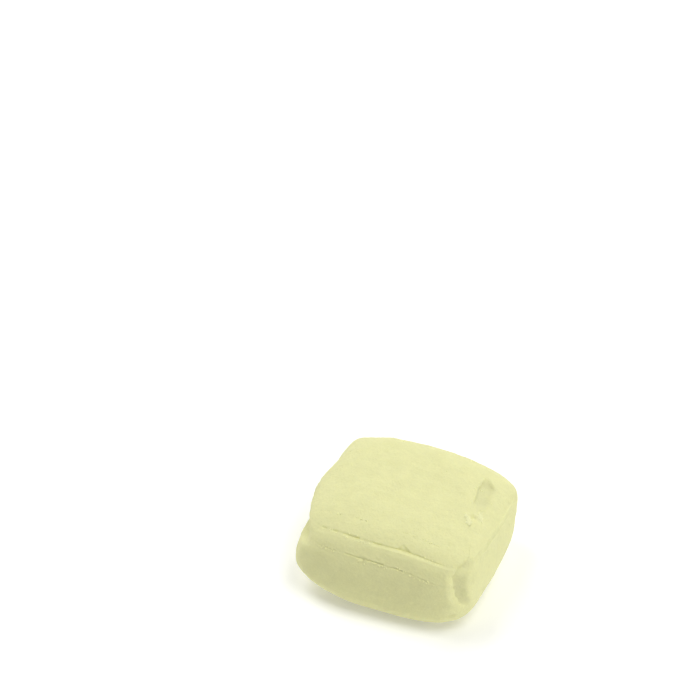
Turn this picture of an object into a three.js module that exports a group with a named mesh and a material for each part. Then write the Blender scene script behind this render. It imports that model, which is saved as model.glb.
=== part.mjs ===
// A buttermint: one pillow-shaped pulled mint, a single solid that rests on its flattened underside.
// Millimetres, +Z up. +X runs along the pulled strands from cut end to cut end, and -Y is the
// creased front. The origin is on the ground, under the middle of the mint.
//
// The surface is laid out as a tube of skin between two cut ends. A place on the skin is given by
// how far along X it is and by its girth angle: 0 at the back, 90 on top, 180 at the front and
// 270 underneath.
import * as THREE from "three";

// Half sizes of the pillow, and the power that squares off each side (2 would be an ellipse).
const HALF_LENGTH = 9.52;
const HALF_WIDTH = 8.29;
const HALF_HEIGHT = 5.29;
const END_POWER = { right: 4.2, left: 2.5 };
const SIDE_POWER = { front: 6.7, back: 7.0 };
const FLAT_POWER = { top: 3.65, bottom: 2.2 };

// How far the cut pillow leans out of true: ends slanted, ends bowed, and the right end narrower.
const SHEAR = 0.027;
const BOW = -0.037;
const TAPER = -0.042;

// What the mint has settled by where it lies, which makes its flat underside.
const SETTLED = 0.14;

// The skin's long lines sink this far round the girth towards each end, most at the upper front.
const LEAN = { right: 4.4, left: 1.8, rightFrom: 2, leftFrom: 4, upTo: 8, middle: 136, spread: 62 };

// Where the skin stops at each end: [girth angle, distance from the middle of the mint].
const RIGHT_RIM = [
  [0, 8.1], [25, 7.3], [46, 6.1], [72, 6.1], [100, 6.45], [128, 7.8], [136, 8.35],
  [144, 7.95], [149, 7.7], [170, 8.2], [190, 8.75], [214, 7.9], [270, 6.7], [326, 7.4],
];
const LEFT_RIM = [
  [0, 9.0], [32, 9.0], [60, 9.25], [90, 9.3], [142, 9.2], [170, 9.2],
  [200, 8.9], [214, 8.2], [270, 7.2], [326, 8.4],
];
const ROUNDING = [-3, -1.5, 0, 1.5, 3];
const RIM_RAGGED = { size: 0.05, waves: [23, 41, 67] };

// Hollows under the skin's edge: where they run round the girth, and their depth and reach inwards.
const RIGHT_HOLLOWS = [
  { from: 42, to: 82, depth: 0.5, reach: 1.0 },
  { from: 135, to: 200, depth: 0.8, reach: 2.1 },
  { from: 232, to: 288, depth: 0.35, reach: 1.4 },
  { from: 336, to: 374, depth: 0.45, reach: 1.4 },
];
const LEFT_HOLLOWS = [
  { from: 40, to: 146, depth: 0.45, reach: 2.4 },
  { from: 150, to: 206, depth: 0.5, reach: 1.8 },
  { from: 236, to: 300, depth: 0.35, reach: 1.5 },
  { from: 334, to: 384, depth: 0.45, reach: 1.6 },
];
const HOLLOW_SOFT_ENDS = 9;
const HOLLOW_EDGE = 0.12;
const HOLLOW_POWER = 1.3;
const EDGE_ROLL = { depth: 0.14, width: 0.9 };

// The left end stands out or in by this much at each girth angle, so its edge is ragged.
const LEFT_SWELL = [
  [0, 0.1], [28, 0.05], [38, 0.15], [50, 0.6], [64, 0.85], [90, 0.9], [106, 0.65], [130, 0.2],
  [142, -0.3], [150, -1], [157, -0.95], [163, -0.5], [171, 0], [186, 0.35], [204, 0.1], [330, 0],
];
const SWELL_POWER = 4;

// The fold along the upper front: a lip above, a groove, and a ledge that climbs out of it.
// It loses part of its depth towards the right end.
const CREASE = { angle: 146.3, depth: 0.2, lip: 0.14, ledge: 0.42 };
const CREASE_FADE = { from: 4.4, to: 7.4, loses: 0.6 };

// The split below it, and the rounded strand between the two.
const CRACK = { angle: 159.4, depth: 0.2, halfWidth: 0.14, starts: -7.6, ends: 6.6 };
const CRACK_TAPER = { left: 1.5, right: 2.5 };
const STRAND = { angle: 152.8, swell: 0.08, halfWidth: 5.6 };

// The faint edge of the top, and a fold and a split on the back like those at the front.
const SHOULDER = { angle: 129.5, drop: 0.07, width: 0.8 };
const BACK_CREASE = { angle: 34.2, depth: 0.16, lip: 0.14, ledge: 0.4 };
const BACK_CRACK = { angle: 14, depth: 0.14, halfWidth: 0.16, starts: -6.8, ends: 5.2 };

// Small marks: places on the finished surface, how wide they are and how far they stand out.
const MARKS = [
  // A flake at the skin's edge, one on the cut end, and the pit between them.
  { at: [6.45, -0.25, 5.0], size: [0.25, 0.65, 0.6], out: 0.14 },
  { at: [7.2, 0.7, 4.75], size: [0.25, 0.6, 0.6], out: 0.14 },
  { at: [6.8, 0.3, 4.9], size: [0.3, 0.35, 0.5], out: -0.3 },
  // A dent in the lower front corner.
  { at: [7.2, -7.2, -1.8], size: [0.55, 0.6, 0.4], out: -0.2 },
  // A swell in the back edge of the top, and a flat beyond it.
  { at: [0.2, 7.6, 4.2], size: [2.4, 2.5, 3], out: 0.13 },
  { at: [5.8, 7.3, 4.2], size: [2.2, 2.5, 3], out: -0.1 },
  // Flats at the back of the right cut end and low on it.
  { at: [9.6, 5.4, -0.4], size: [1.6, 1.8, 1.7], out: -0.22 },
  { at: [9.3, -2.6, -2.2], size: [1.5, 2.2, 1.5], out: -0.17 },
];

// The pinched double ridge across the right cut end, how it fades past its two ends, and the facet
// that falls away below it.
const PINCH = { back: [9.2, 4.3, 3.0], front: [8.2, -3.45, 4.2], height: 0.07, halfWidth: 0.3 };
const PINCH_FADE = { past: 0.1, over: 0.25 };
const FACET = { depth: 0.09, fallsOver: 1, climbsFrom: 1.5, climbsTo: 3.5 };

// Hand-pulled unevenness: how far the skin waves in and out, and how long the waves are.
const WAVES = [
  { out: 0.03, along: 0.45, across: 0.5, phase: 0.4 },
  { out: 0.015, along: 0.9, across: -0.8, phase: 2.1 },
  { out: 0.006, along: 0.3, across: 2.9, phase: 1.2 },
];

// The grid that carries the surface. Its long edges are at these girth angles.
const CORNERS = [32.6, CREASE.angle, 212.6, 327.4];
const FULL_TURN = 360;
const LENGTH_CELLS = 40;
const TOP_CELLS = 25;
const SIDE_CELLS = 17;
const LINE_GAP = 0.014;
const RIM_CELL = 0.012;
const LIP_LEAD = 3;
const FIRST_RING = 0.3;
const SOLVE_STEPS = 40;

const COLOR = 0xe9e8af;
const ROUGHNESS = 0.85;

const radians = THREE.MathUtils.degToRad;
const degrees = THREE.MathUtils.radToDeg;
const mix = THREE.MathUtils.lerp;
const smooth = THREE.MathUtils.smoothstep;

function wrapped(angle) {
  return ((angle % FULL_TURN) + FULL_TURN) % FULL_TURN;
}

// The shortest way round from one angle to another, in degrees.
function turnBetween(from, to) {
  return wrapped(to - from + FULL_TURN / 2) - FULL_TURN / 2;
}

// Straight stretches between the points, closed round the girth.
function stretchAt(points, angle) {
  const at = wrapped(angle);
  const next = points.findIndex((point) => point[0] > at);
  const last = points[points.length - 1];
  const [fromAngle, fromValue] = next > 0 ? points[next - 1] : last;
  const [toAngle, toValue] = next > 0 ? points[next] : points[0];
  const share = wrapped(at - fromAngle) / wrapped(toAngle - fromAngle);
  return mix(fromValue, toValue, share);
}

// The same stretches with their corners rounded off.
function roundedAt(points, angle) {
  const sum = ROUNDING.reduce((total, offset) => total + stretchAt(points, angle + offset), 0);
  return sum / ROUNDING.length;
}

// Small waves that run round the rim, each starting a little later than the one before.
function ragged(angle) {
  const { size, waves } = RIM_RAGGED;
  return size * waves.reduce((sum, wave, i) => sum + Math.sin(radians(angle * wave) + i), 0);
}

function rimReach(rim, angle) {
  return roundedAt(rim, angle) + ragged(angle);
}

// A smooth bump: 1 in the middle, and 0 from 1 away.
function bump(away) {
  return Math.abs(away) < 1 ? Math.cos((away * Math.PI) / 2) ** 2 : 0;
}

function lean(x, girth) {
  const right = LEAN.right * smooth(x, LEAN.rightFrom, LEAN.upTo);
  const left = LEAN.left * smooth(-x, LEAN.leftFrom, LEAN.upTo);
  return (right + left) * bump(turnBetween(LEAN.middle, girth) / LEAN.spread);
}

const endPower = (x) => (x > 0 ? END_POWER.right : END_POWER.left);
const sidePower = (y) => (y > 0 ? SIDE_POWER.back : SIDE_POWER.front);
const flatPower = (z) => (z > 0 ? FLAT_POWER.top : FLAT_POWER.bottom);

// How much of the pillow's unit size a place uses up along each axis: 1 in all on its surface.
const lengthShare = (x) => (Math.abs(x) / HALF_LENGTH) ** endPower(x);
const widthShare = (y) => (Math.abs(y) / HALF_WIDTH) ** sidePower(y);
const heightShare = (z) => (Math.abs(z) / HALF_HEIGHT) ** flatPower(z);

function outwards({ x, y, z }) {
  const along = (lengthShare(x) * endPower(x)) / (x || 1);
  const across = (widthShare(y) * sidePower(y)) / (y || 1);
  const up = (heightShare(z) * flatPower(z)) / (z || 1);
  return new THREE.Vector3(along, across, up).normalize();
}

// The pillow's bare surface at a place on the skin.
function girthPoint(x, angle) {
  const y = Math.cos(radians(angle));
  const z = Math.sin(radians(angle));
  let inside = 0;
  let outside = HALF_LENGTH;
  for (let step = 0; step < SOLVE_STEPS; step += 1) {
    const middle = (inside + outside) / 2;
    const used = lengthShare(x) + widthShare(middle * y) + heightShare(middle * z);
    if (used < 1) {
      inside = middle;
    } else {
      outside = middle;
    }
  }
  return new THREE.Vector3(x, inside * y, inside * z);
}

// The pillow's bare surface at a place on a cut end: side is 1 at the right and -1 at the left.
function endPoint(side, y, z) {
  const unused = Math.max(0, 1 - widthShare(y) - heightShare(z));
  return new THREE.Vector3(side * HALF_LENGTH * unused ** (1 / endPower(side)), y, z);
}

// A groove with a short steep upper side and a long lower side that climbs out as a ledge.
function foldProfile(fold, down) {
  const away = down < 0 ? -down / fold.lip : down / fold.ledge;
  return -fold.depth * Math.max(0, 1 - away);
}

function crackProfile(crack, x, down) {
  const opens = smooth(x, crack.starts, crack.starts + CRACK_TAPER.left);
  const closes = smooth(x, crack.ends - CRACK_TAPER.right, crack.ends);
  const across = Math.max(0, 1 - Math.abs(down) / crack.halfWidth);
  return -crack.depth * opens * (1 - closes) * across;
}

function strandProfile(girth) {
  return STRAND.swell * bump(turnBetween(STRAND.angle, girth) / STRAND.halfWidth);
}

// The skin beyond the shoulder lies a little lower, as far as the crease.
function shoulderProfile(beyond, toCrease) {
  return -SHOULDER.drop * smooth(beyond, 0, SHOULDER.width) * smooth(toCrease, 0, SHOULDER.width);
}

function waveRelief({ x, y, z }) {
  return WAVES.reduce((sum, { out, along, across, phase }) => {
    return sum + out * Math.sin(along * x + across * (y + z) + phase);
  }, 0);
}

function hollowDepth(hollows, girth) {
  const depths = hollows.map((hollow) => {
    const into = wrapped(girth - hollow.from);
    const length = hollow.to - hollow.from;
    const starts = smooth(into, 0, HOLLOW_SOFT_ENDS);
    const stops = smooth(length - into, 0, HOLLOW_SOFT_ENDS);
    return hollow.depth * starts * stops;
  });
  return Math.max(...depths);
}

function hollowReach(hollows, girth) {
  const hollow = hollows.find(({ from, to }) => wrapped(girth - from) <= to - from);
  return hollow ? hollow.reach : hollows[0].reach;
}

// Stands the skin out or in at one place. Down is the distance round the girth below a line.
function skinRelief(point, girth, radius) {
  const down = (line) => radians(turnBetween(line.angle, girth)) * radius;
  const creaseDepth = 1 - CREASE_FADE.loses * smooth(point.x, CREASE_FADE.from, CREASE_FADE.to);
  return (
    foldProfile(CREASE, down(CREASE)) * creaseDepth +
    crackProfile(CRACK, point.x, down(CRACK)) +
    strandProfile(girth) +
    shoulderProfile(down(SHOULDER), -down(CREASE)) +
    foldProfile(BACK_CREASE, -down(BACK_CREASE)) +
    crackProfile(BACK_CRACK, point.x, -down(BACK_CRACK)) +
    waveRelief(point)
  );
}

// The skin curls in where it ends over a hollow.
function edgeRoll(hollows, girth, fromRim) {
  const share = Math.max(0, 1 - fromRim / EDGE_ROLL.width);
  return -EDGE_ROLL.depth * share * share * Math.min(1, hollowDepth(hollows, girth) / EDGE_ROLL.depth);
}

function pinchRelief(point) {
  const back = new THREE.Vector3(...PINCH.back);
  const along = new THREE.Vector3(...PINCH.front).sub(back);
  const from = point.clone().sub(back);
  const share = from.dot(along) / along.lengthSq();
  const off = from.addScaledVector(along, -share);
  const fromEnds = Math.min(share, 1 - share) + PINCH_FADE.past;
  const ridge = PINCH.height * Math.exp(-((off.length() / PINCH.halfWidth) ** 2));
  const falls = smooth(-off.z, 0, FACET.fallsOver);
  const climbs = smooth(-off.z, FACET.climbsFrom, FACET.climbsTo);
  const facet = -FACET.depth * falls * (1 - climbs);
  return (ridge + facet) * smooth(fromEnds, 0, PINCH_FADE.over);
}

function markRelief(point) {
  return MARKS.reduce((sum, mark) => {
    const away = new THREE.Vector3(...mark.at).sub(point).divide(new THREE.Vector3(...mark.size));
    return sum + mark.out * Math.exp(-away.lengthSq());
  }, 0);
}

// Leans the cut pillow out of true and flattens it where it lies.
function warped(point) {
  const { x, y, z } = point;
  return new THREE.Vector3(
    x + SHEAR * y + (BOW * y * y) / HALF_WIDTH,
    y * (1 + (TAPER * x) / HALF_LENGTH),
    Math.max(z, SETTLED - HALF_HEIGHT),
  );
}

// Moves a bare surface place out by its relief, swells the left end, and warps the result.
function finished(point, girth, relief, hold = 1) {
  const out = outwards(point);
  const placed = warped(point);
  const moved = point.clone().addScaledVector(out, relief + markRelief(placed));
  const towardsLeft = Math.max(0, -point.x / HALF_LENGTH);
  moved.x -= roundedAt(LEFT_SWELL, girth) * hold * towardsLeft ** SWELL_POWER;
  return warped(moved);
}

// One place on the skin: share runs from 0 at the left rim to 1 at the right rim.
function skinPoint(share, girth) {
  const left = -rimReach(LEFT_RIM, girth);
  const right = rimReach(RIGHT_RIM, girth);
  const x = mix(left, right, share);
  const point = girthPoint(x, girth + lean(x, girth));
  const radius = Math.hypot(point.y, point.z);
  const roll = edgeRoll(LEFT_HOLLOWS, girth, x - left) + edgeRoll(RIGHT_HOLLOWS, girth, right - x);
  return finished(point, girth, skinRelief(point, girth, radius) + roll);
}

// The bare rim of one end at a girth angle.
function rimPoint(side, girth) {
  const x = side * rimReach(side > 0 ? RIGHT_RIM : LEFT_RIM, girth);
  return girthPoint(x, girth + lean(x, girth));
}

// One place on a cut end, inside the rim: share is 0 in the middle and 1 at the rim.
function cutPoint(side, y, z) {
  const hollows = side > 0 ? RIGHT_HOLLOWS : LEFT_HOLLOWS;
  const point = endPoint(side, y, z);
  const angle = degrees(Math.atan2(z, y));
  const girth = angle - lean(point.x, angle);
  const rim = rimPoint(side, girth);
  const fromRim = point.distanceTo(rim);
  const share = Math.min(1, Math.hypot(y, z) / Math.hypot(rim.y, rim.z));
  const edge = smooth(fromRim, 0, HOLLOW_EDGE);
  const rest = Math.max(0, 1 - fromRim / hollowReach(hollows, girth));
  const hollow = -hollowDepth(hollows, girth) * edge * rest ** HOLLOW_POWER;
  const pinch = side > 0 ? pinchRelief(warped(point)) : 0;
  return finished(point, girth, hollow + pinch + waveRelief(point) * share, share * share);
}

// Grid lines from 0 to 1: even ones, and one at each mark in place of the even ones beside it.
function gridLines(cells, marks) {
  const even = Array.from({ length: cells + 1 }, (_, i) => i / cells);
  const isEnd = (line) => line === 0 || line === 1;
  const isClear = (line) => marks.every((mark) => Math.abs(line - mark) > LINE_GAP);
  const kept = even.filter((line) => isEnd(line) || isClear(line));
  return [...kept, ...marks].sort((a, b) => a - b);
}

// Sides go round from one corner to the next. On the top and underside the grid is even across Y,
// and at the front and back it is even up Z.
function sideAngle(side, share) {
  const from = radians(CORNERS[side]);
  const to = radians(CORNERS[(side + 1) % CORNERS.length]);
  if (side % 2 === 0) {
    const slope = mix(1 / Math.tan(from), 1 / Math.tan(to), share);
    const up = side === 0 ? 1 : -1;
    return wrapped(degrees(Math.atan2(up, up * slope)));
  }
  const rise = mix(Math.tan(from), Math.tan(to), share);
  const away = side === 1 ? -1 : 1;
  return wrapped(degrees(Math.atan2(away * rise, away)));
}

// The share along a side at which a girth angle lies.
function sideShare(side, angle) {
  const from = radians(CORNERS[side]);
  const to = radians(CORNERS[(side + 1) % CORNERS.length]);
  const rise = side % 2 === 0 ? (at) => 1 / Math.tan(at) : Math.tan;
  return (rise(radians(angle)) - rise(from)) / (rise(to) - rise(from));
}

const lipAngle = degrees(CREASE.lip / HALF_WIDTH);
const ledgeAngle = degrees(CREASE.ledge / HALF_WIDTH);
const crackAngle = degrees(CRACK.halfWidth / HALF_WIDTH);
const topLines = gridLines(TOP_CELLS, [
  sideShare(0, SHOULDER.angle),
  sideShare(0, CREASE.angle - LIP_LEAD * lipAngle),
  sideShare(0, CREASE.angle - lipAngle),
]);
const frontLines = gridLines(SIDE_CELLS, [
  sideShare(1, CREASE.angle + ledgeAngle),
  sideShare(1, CRACK.angle - crackAngle),
  sideShare(1, CRACK.angle),
  sideShare(1, CRACK.angle + crackAngle),
]);
const lengthLines = gridLines(LENGTH_CELLS, [RIM_CELL, 1 - RIM_CELL]);
const topCells = topLines.length - 1;
const frontCells = frontLines.length - 1;

// The girth angles of the tube's long lines, once round from the back edge of the top.
const ring = [
  ...topLines.slice(0, -1).map((line) => sideAngle(0, line)),
  ...frontLines.slice(0, -1).map((line) => sideAngle(1, line)),
  ...topLines.slice(1).reverse().map((line) => sideAngle(2, 1 - line)),
  ...frontLines.slice(1).reverse().map((line) => sideAngle(3, 1 - line)),
];

const vertices = [];
const triangles = [];

function addVertex(point) {
  vertices.push(point);
  return vertices.length - 1;
}

// A four-sided cell, split along its shorter diagonal.
function addCell(a, b, c, d) {
  if (vertices[a].distanceTo(vertices[c]) < vertices[b].distanceTo(vertices[d])) {
    triangles.push(a, b, c, a, c, d);
  } else {
    triangles.push(a, b, d, b, c, d);
  }
}

function addSkin() {
  const tube = ring.map((girth) => lengthLines.map((share) => addVertex(skinPoint(share, girth))));
  tube.forEach((line, k) => {
    const next = tube[(k + 1) % tube.length];
    for (let i = 0; i < line.length - 1; i += 1) {
      addCell(line[i], next[i], next[i + 1], line[i + 1]);
    }
  });
  return tube;
}

// The ring index of a place on the edge of an end's grid, counted from the back and from the top.
function edgeIndex(back, top) {
  if (top === 0) {
    return back;
  }
  if (back === topCells) {
    return topCells + top;
  }
  if (top === frontCells) {
    return topCells + frontCells + (topCells - back);
  }
  return (2 * topCells + frontCells + (frontCells - top)) % ring.length;
}

// Spreads the rim's shape over the grid inside it.
function spreadInside(rim, back, top) {
  const across = back / topCells;
  const down = top / frontCells;
  const at = (i, j) => rim[edgeIndex(i, j)];
  const sides = at(back, 0).clone().multiplyScalar(1 - down)
    .addScaledVector(at(back, frontCells), down)
    .addScaledVector(at(0, top), 1 - across)
    .addScaledVector(at(topCells, top), across);
  const corners = at(0, 0).clone().multiplyScalar((1 - across) * (1 - down))
    .addScaledVector(at(topCells, 0), across * (1 - down))
    .addScaledVector(at(0, frontCells), (1 - across) * down)
    .addScaledVector(at(topCells, frontCells), across * down);
  return sides.sub(corners);
}

// A grid line beside an edge of the grid is moved to that edge, and any other stays.
function toEdge(line, last) {
  if (line === 1) {
    return 0;
  }
  return line === last - 1 ? last : line;
}

// The grid's first ring of cells is narrow, so that a hollow drops steeply from the skin's edge.
function insidePlace(rim, back, top) {
  const place = spreadInside(rim, back, top);
  const nearBack = toEdge(back, topCells);
  const nearTop = toEdge(top, frontCells);
  if (nearBack === back && nearTop === top) {
    return place;
  }
  return rim[edgeIndex(nearBack, nearTop)].clone().lerp(place, FIRST_RING);
}

function addEnd(side, tube) {
  const rim = ring.map((girth) => rimPoint(side, girth));
  const edgeLine = side > 0 ? lengthLines.length - 1 : 0;
  const grid = Array.from({ length: topCells + 1 }, (_, back) =>
    Array.from({ length: frontCells + 1 }, (__, top) => {
      const onEdge = back === 0 || back === topCells || top === 0 || top === frontCells;
      if (onEdge) return tube[edgeIndex(back, top)][edgeLine];
      const place = insidePlace(rim, back, top);
      return addVertex(cutPoint(side, place.y, place.z));
    }),
  );
  for (let back = 0; back < topCells; back += 1) {
    for (let top = 0; top < frontCells; top += 1) {
      const cell = [grid[back][top], grid[back + 1][top], grid[back + 1][top + 1], grid[back][top + 1]];
      addCell(...(side > 0 ? cell : cell.reverse()));
    }
  }
}

function mintGeometry() {
  const tube = addSkin();
  addEnd(1, tube);
  addEnd(-1, tube);
  const geometry = new THREE.BufferGeometry().setFromPoints(vertices);
  geometry.setIndex(triangles);
  geometry.computeBoundingBox();
  const { min, max } = geometry.boundingBox;
  geometry.translate(-(min.x + max.x) / 2, -(min.y + max.y) / 2, -min.z);
  geometry.computeVertexNormals();
  return geometry;
}

const mint = new THREE.Mesh(
  mintGeometry(),
  new THREE.MeshStandardMaterial({ color: COLOR, roughness: ROUGHNESS, metalness: 0 }),
);
mint.name = "mint";

const buttermint = new THREE.Group();
buttermint.add(mint);

export default buttermint;
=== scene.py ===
"""A buttermint: one pulled sugar mint with its folded skin, torn edges and crumbs, on a pale floor.

The mint is laid out like its frame. +X runs along the pulled strands from cut end to cut end, and
-Y is the creased front. Shapes are worked out in millimetres and made metres at the end. A place
on the skin is given by how far along X it is and by its girth angle: 0 at the back, 90 on top, 180
at the front and 270 underneath.
"""

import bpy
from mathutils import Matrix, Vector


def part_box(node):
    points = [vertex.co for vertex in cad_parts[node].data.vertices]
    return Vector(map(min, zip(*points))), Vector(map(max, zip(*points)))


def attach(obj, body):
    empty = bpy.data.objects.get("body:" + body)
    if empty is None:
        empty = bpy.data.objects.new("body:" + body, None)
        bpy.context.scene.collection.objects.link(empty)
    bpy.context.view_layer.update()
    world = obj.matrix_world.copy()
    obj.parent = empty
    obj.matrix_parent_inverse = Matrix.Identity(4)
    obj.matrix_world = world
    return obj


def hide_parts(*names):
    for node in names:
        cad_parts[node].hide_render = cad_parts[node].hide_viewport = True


bl_info = {
    "name": "Buttermint",
    "version": (1, 0, 0),
    "blender": (4, 5, 0),
    "location": "3D View > Sidebar > Buttermint",
    "description": "Moulds a pulled buttermint with its folds, torn edges, flakes and crumbs",
    "category": "Object",
}

from collections import namedtuple
import functools
import itertools
import math

import bmesh
import bpy
import numpy as np
from bpy.props import FloatProperty, FloatVectorProperty, IntProperty, PointerProperty
from mathutils import Euler, Matrix, Vector
from mathutils.bvhtree import BVHTree

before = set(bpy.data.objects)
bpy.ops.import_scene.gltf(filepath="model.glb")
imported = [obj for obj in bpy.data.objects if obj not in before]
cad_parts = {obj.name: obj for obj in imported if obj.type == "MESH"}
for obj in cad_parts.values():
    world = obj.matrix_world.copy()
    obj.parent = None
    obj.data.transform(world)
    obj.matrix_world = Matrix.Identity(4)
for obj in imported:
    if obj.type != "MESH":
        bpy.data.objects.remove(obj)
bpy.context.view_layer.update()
MINT_LOW, MINT_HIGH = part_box("mint")
MINT_MIDDLE = (MINT_LOW + MINT_HIGH) / 2

# The drawn mint's length in millimetres, which the frame's own length is measured against, and the
# place in the drawing that lies over the middle of the frame's box.
DRAWN_LENGTH = 19.5
DRAWN_MIDDLE = (-0.25, 0.03)
MM = (MINT_HIGH.x - MINT_LOW.x) / DRAWN_LENGTH

# Half sizes of the pillow, and the powers that square it off on its positive and negative sides.
HALF_LENGTH = 9.47
HALF_WIDTH = 8.29
HALF_HEIGHT = 5.29
END_POWER = (4.2, 2.85)
SIDE_POWER = (7.0, 6.7)
FLAT_POWER = (3.65, 2.2)

# How far the cut pillow leans out of true, and what its underside has settled.
SHEAR = 0.027
BOW = -0.037
TAPER = -0.042
SETTLED = 0.14

# The long lines of the skin sink this far round the girth towards each end.
LEAN_RIGHT = 4.4
LEAN_LEFT = 1.8
LEAN_RIGHT_FROM = 2.0
LEAN_LEFT_FROM = 4.0
LEAN_UP_TO = 8.0
LEAN_MIDDLE = 136.0
LEAN_SPREAD = 62.0

# Where the skin stops at the right and left end: [girth angle, distance from the mint's middle].
RIGHT, LEFT = 1, -1
RIMS = {
    RIGHT: [
        [0, 8.1], [25, 7.3], [42, 6.0], [50, 5.82], [56, 5.8], [69, 5.95], [74, 6.0], [82, 6.35],
        [88, 6.6], [100, 6.65], [128, 7.8], [137, 8.2], [142, 7.92], [146, 7.7], [151, 7.5],
        [157, 7.6], [165, 7.7], [168, 7.95], [171, 7.76], [176, 7.98], [182, 8.35], [187, 8.8],
        [214, 7.9], [270, 6.7], [326, 7.4],
    ],
    LEFT: [
        [0, 9.0], [32, 9.0], [60, 9.25], [90, 9.3], [142, 9.2], [170, 9.2],
        [200, 8.9], [214, 8.2], [270, 7.2], [326, 8.4],
    ],
}

# Lists round the girth are read at these turns off a place, which rounds off their corners. Over a
# hollow the skin's edge is ragged in waves and torn in grains, less so at the left end.
ROUNDING = (-2.0, -1.0, 0.0, 1.0, 2.0)
RAGGED_SIZE = 0.025
RAGGED_WAVES = (23, 41, 67)
TORN_SIZE = 0.04
TORN_GRAIN = 0.34
TORN_SHARE = {RIGHT: 1.0, LEFT: 0.08}

# Hollows under the skin's edge: from and to round the girth, their depth and reach inwards, how
# gently they start and end, how far the skin's edge rolls down into them, how much shallower they
# start at the edge than they become further in, and how much shade is painted into them.
HOLLOW_FIELDS = "start end depth reach soft_start soft_end roll sinking coarse"
Hollow = namedtuple("Hollow", HOLLOW_FIELDS, defaults=(9, 9, 0.14, 0, 1))
HOLLOWS = {
    RIGHT: [
        Hollow(42.5, 94, 0.5, 1.7, 8, 30, 0.05, 0.5, 1.8),
        Hollow(134, 189, 0.52, 1.35, 11, 14, 0.42, 0, 0.9),
        Hollow(232, 288, 0.35, 1.4),
        Hollow(336, 374, 0.45, 1.4),
    ],
    LEFT: [
        Hollow(30, 112, 0.18, 2.4, 9, 24, 0.03, 0, 0.3),
        Hollow(198, 230, 0.45, 1.8, soft_start=12),
        Hollow(244, 300, 0.35, 1.5),
        Hollow(334, 384, 0.45, 1.6),
    ],
}

# How a hollow drops at the skin's edge, climbs back to the cut and reaches outwards under the edge,
# how its painted shade fades inwards and from what depth on that painted shade is full, from what
# depth on its edge is fully torn, and how wide the edge's roll is.
HOLLOW_EDGE = 0.07
HOLLOW_SHOULDER = 0.08
LEAST_REACH = 0.2
SINKING_GAIN = 2.6
UNDERCUT = 0.03
UNDERCUT_ENDS = 0.6
SHADE_FADE_POWER = 4
SHADE_FULL_DEPTH = 0.4
TEARS_FROM = 0.14
ROLL_WIDTH = 0.76

# The left end stands out or in by this much at each girth angle.
LEFT_SWELL = [
    [0, -0.15], [25, -0.3], [31, -0.12], [38, -0.25], [50, 0.25], [64, 0.6], [90, 0.6], [106, 0.42],
    [130, 0.03], [142, -0.55], [150, -1.5], [157, -1.6], [160, -1.4], [164, -0.6], [168, -0.38],
    [174, -0.3], [180, -0.05], [184, 0.05], [188, 0.15], [192, 0.3], [197, 0.1], [204, -0.2],
    [330, -0.22],
]
SWELL_POWER = 4

# Long lines of the skin: girth angle in the middle, and how it changes with X, X squared and cubed.
CREASE_LINE = (143.65, 0.14, -0.012, 0.0013)
CRACK_LINE = (158.2, 0.3, 0.01, 0.0)
SCRATCH_LINE = (132.6, 0.27, 0.0, 0.0)
BACK_CREASE_LINE = (34.2, 0.1, 0.0, 0.0)
BACK_CRACK_LINE = (14.0, -0.2, 0.0, 0.0)

# The fold along the upper front: the gap under its lip, the ledge that climbs ever more steeply out
# of the gap, what the fold keeps where its gap is closed, and how it fades to the right and left.
CREASE_GAP = 0.08
CREASE_WALL = 0.2
CREASE_LEDGE = 0.42
CREASE_SCOOP = 1.7
CREASE_CLOSED = 0.4
CREASE_FADE = (4.0, 8.0)
CREASE_FADE_LEFT = (2.0, 6.5)
CREASE_LOSES = 0.4
CREASE_LOSES_LEFT = 0.72
CREASE_WANDER = 0.03
GAP_DEEPER = 0.08

# Where the fold's gap opens: from and to along X, and how deep.
CREASE_OPEN = [
    [-6.65, -6.05, 2.4], [-5.3, -4.7, 1.8], [-4.1, -2.3, 1.1],
    [-0.95, 0.0, 0.9], [0.0, 4.4, 0.5], [1.55, 2.95, 1.1], [4.4, 6.4, 0.4],
]
DASH_SOFT = 0.1

# The notch torn out of the fold's lip: its left end, its tip, its right end and its height.
NOTCH = (1.55, 2.0, 2.9)
NOTCH_HEIGHT = 0.5

# The split below the fold: its width, its crumbly lips, where it opens and gapes, and its one side
# crack, which sways as it runs down.
CRACK_HALF_WIDTH = 0.09
CRACK_UNEVEN = 0.5
CRACK_WANDER = 0.07
CRACK_LIP = 0.025
CRACK_LIP_AT = 2.2
CRACK_LIP_WIDTH = 1.8
CRACK_OPEN = [
    [-6.5, -6.1, 0.4], [-5.45, -5.2, 0.9], [-5.1, -4.9, 0.8], [-4.5, -4.25, 0.9],
    [-3.9, -3.7, 0.4], [-3.2, -2.25, 0.8], [-2.15, 0.75, 1.0], [0.95, 1.15, 0.5],
    [1.35, 1.6, 0.7], [1.75, 2.25, 0.8], [2.35, 2.7, 0.9],
    [2.9, 3.05, 0.8], [3.25, 3.9, 0.7], [4.25, 4.55, 0.8], [4.75, 5.35, 0.6], [5.55, 6.0, 0.5],
    [6.0, 6.9, 0.3],
]
CRACK_WIDEST = -1.4
CRACK_WIDE_FOR = 0.75
CRACK_WIDENS = 1.3
CRACK_DEEPENS = 0.35
SPUR_X = -1.35
SPUR_LENGTH = 0.85
SPUR_HALF_WIDTH = 0.22
SPUR_SHARE = 1.7
SPUR_SWAY = 0.08
SPUR_SWAYS = 7.0

# The rounded strand between fold and split, which flattens towards the left.
STRAND_ANGLE = 147.2
STRAND_SWELL = 0.19
STRAND_FADE_LEFT = (-3.0, 2.0)
STRAND_LOSES = 0.7
STRAND_ABOVE = 3.4
STRAND_BELOW = 10.5

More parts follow.
